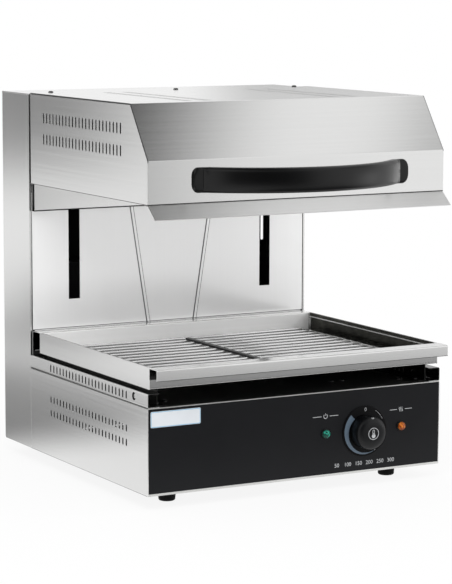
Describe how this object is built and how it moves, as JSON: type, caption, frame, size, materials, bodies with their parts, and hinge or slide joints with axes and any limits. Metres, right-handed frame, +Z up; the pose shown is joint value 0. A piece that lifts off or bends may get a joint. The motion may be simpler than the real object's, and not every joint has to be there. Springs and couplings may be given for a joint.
{
  "type": "cheese melter",
  "caption": "Countertop cheese melter: a vented heated hood with a bow handle slides on a rear column over a drip tray and wire grid on a vented control base.",
  "frame": {"origin": "centre of the whole part's bounding box in X and Y, at the underside of the feet", "axes": "+X to the right seen from the front, +Y to the back, +Z up; the knob and handle face -Y"},
  "size_m": [0.45, 0.545, 0.5257],
  "materials": {
    "brushed_steel": "brushed",
    "tray_steel": "bright rolled",
    "back_steel": "bright rolled",
    "bright_fasteners": "plated",
    "dark_fasteners": "blackened",
    "plated_steel": "galvanised",
    "ground_rods": "ground",
    "wire_rope": "stranded",
    "crimps": "pressed",
    "chrome_wire": "bright",
    "reflector_sheet": "polished",
    "element_sheath": "oxidised",
    "ceramic": "matt",
    "mineral_wool": "fibrous",
    "cast_weight": "as cast, painted",
    "pulley_metal": "turned",
    "bush_bronze": "machined",
    "black_panel": "satin",
    "black_rubber": "matt",
    "black_handle": "satin",
    "black_knob": "satin",
    "black_dial": "printed",
    "green_lens": "clear moulded",
    "orange_lens": "clear moulded",
    "black_moulding": "matt",
    "regulator_case": "matt",
    "pale_label": "printed film, blank"
  },
  "bodies": {
    "cabinet": {"base_shell": "brushed_steel", "front_panel": "black_panel", "deck_plate": "brushed_steel", "bottom_plate": "brushed_steel", "feet": "black_rubber", "foot_screws": "bright_fasteners", "side_channel_left": "brushed_steel", "side_channel_right": "brushed_steel", "tray_rail_left": "brushed_steel", "tray_rail_right": "brushed_steel", "rail_studs": "bright_fasteners", "column_shell": "brushed_steel", "back_panel": "back_steel", "rear_cover": "brushed_steel", "casing_screws": "dark_fasteners", "upper_crossmember": "plated_steel", "lower_crossmember": "plated_steel", "guide_rods": "ground_rods", "rod_nuts": "plated_steel", "travel_buffers": "black_rubber", "pulley_brackets": "plated_steel", "pulley_axles": "ground_rods", "rope_wraps": "wire_rope", "carriage_ropes": "wire_rope", "weight_ropes": "wire_rope", "heat_regulator": "regulator_case", "dial_plate": "black_dial", "power_light": "green_lens", "heat_light": "orange_lens", "lamp_bodies": "black_moulding", "terminal_block": "ceramic", "cable_gland": "black_moulding", "blank_label": "pale_label"},
    "hood": {"hood_cover": "brushed_steel", "hood_side_left": "brushed_steel", "hood_side_right": "brushed_steel", "hood_back": "brushed_steel", "front_lip": "brushed_steel", "rear_skirt": "brushed_steel", "heater_box": "plated_steel", "reflector": "reflector_sheet", "insulation_mat": "mineral_wool", "heating_elements": "element_sheath", "element_rests": "plated_steel", "element_terminals": "ceramic", "handle_bow": "black_handle", "handle_screws": "bright_fasteners", "lift_arms": "plated_steel", "carriage_plate": "plated_steel", "slide_bushes": "bush_bronze", "hood_screws": "dark_fasteners", "carriage_crimps": "crimps"},
    "weight": {"counterweight": "cast_weight", "weight_crimps": "crimps"},
    "pulley_left": {"pulley_left": "pulley_metal"},
    "pulley_right": {"pulley_right": "pulley_metal"},
    "knob": {"control_knob": "black_knob", "regulator_shaft": "ground_rods"},
    "tray": {"drip_tray": "tray_steel"},
    "grid": {"wire_grid": "chrome_wire"}
  },
  "joints": [
    {"name": "hood_lift", "type": "slide", "parent": "cabinet", "child": "hood", "axis": [0, 0, -1], "range_m": [0, 0.165], "deforming": ["carriage_ropes"]},
    {"name": "weight_lift", "type": "slide", "parent": "cabinet", "child": "weight", "axis": [0, 0, 1], "range_m": [0, 0.165], "deforming": ["weight_ropes"]},
    {"name": "pulley_left_turn", "type": "hinge", "parent": "cabinet", "child": "pulley_left", "pos_m": [-0.07, 0.2101, 0.4871], "axis": [1, 0, 0], "range_deg": [0, 360]},
    {"name": "pulley_right_turn", "type": "hinge", "parent": "cabinet", "child": "pulley_right", "pos_m": [0.07, 0.2101, 0.4871], "axis": [1, 0, 0], "range_deg": [0, 360]},
    {"name": "knob_turn", "type": "hinge", "parent": "cabinet", "child": "knob", "pos_m": [0.1035, -0.1985, 0.0758], "axis": [0, 1, 0], "range_deg": [0, 300]},
    {"name": "tray_slide", "type": "slide", "parent": "cabinet", "child": "tray", "axis": [0, -1, 0], "range_m": [0, 0.25]},
    {"name": "grid_lift", "type": "slide", "parent": "tray", "child": "grid", "axis": [0, 0, 1], "range_m": [0, 0.035]}
  ],
  "couplings": [
    {"joint": "weight_lift", "follows": "hood_lift", "ratio": 1},
    {"joint": "pulley_left_turn", "follows": "hood_lift", "rad_per_m": 37.879},
    {"joint": "pulley_right_turn", "follows": "hood_lift", "rad_per_m": 37.879}
  ]
}
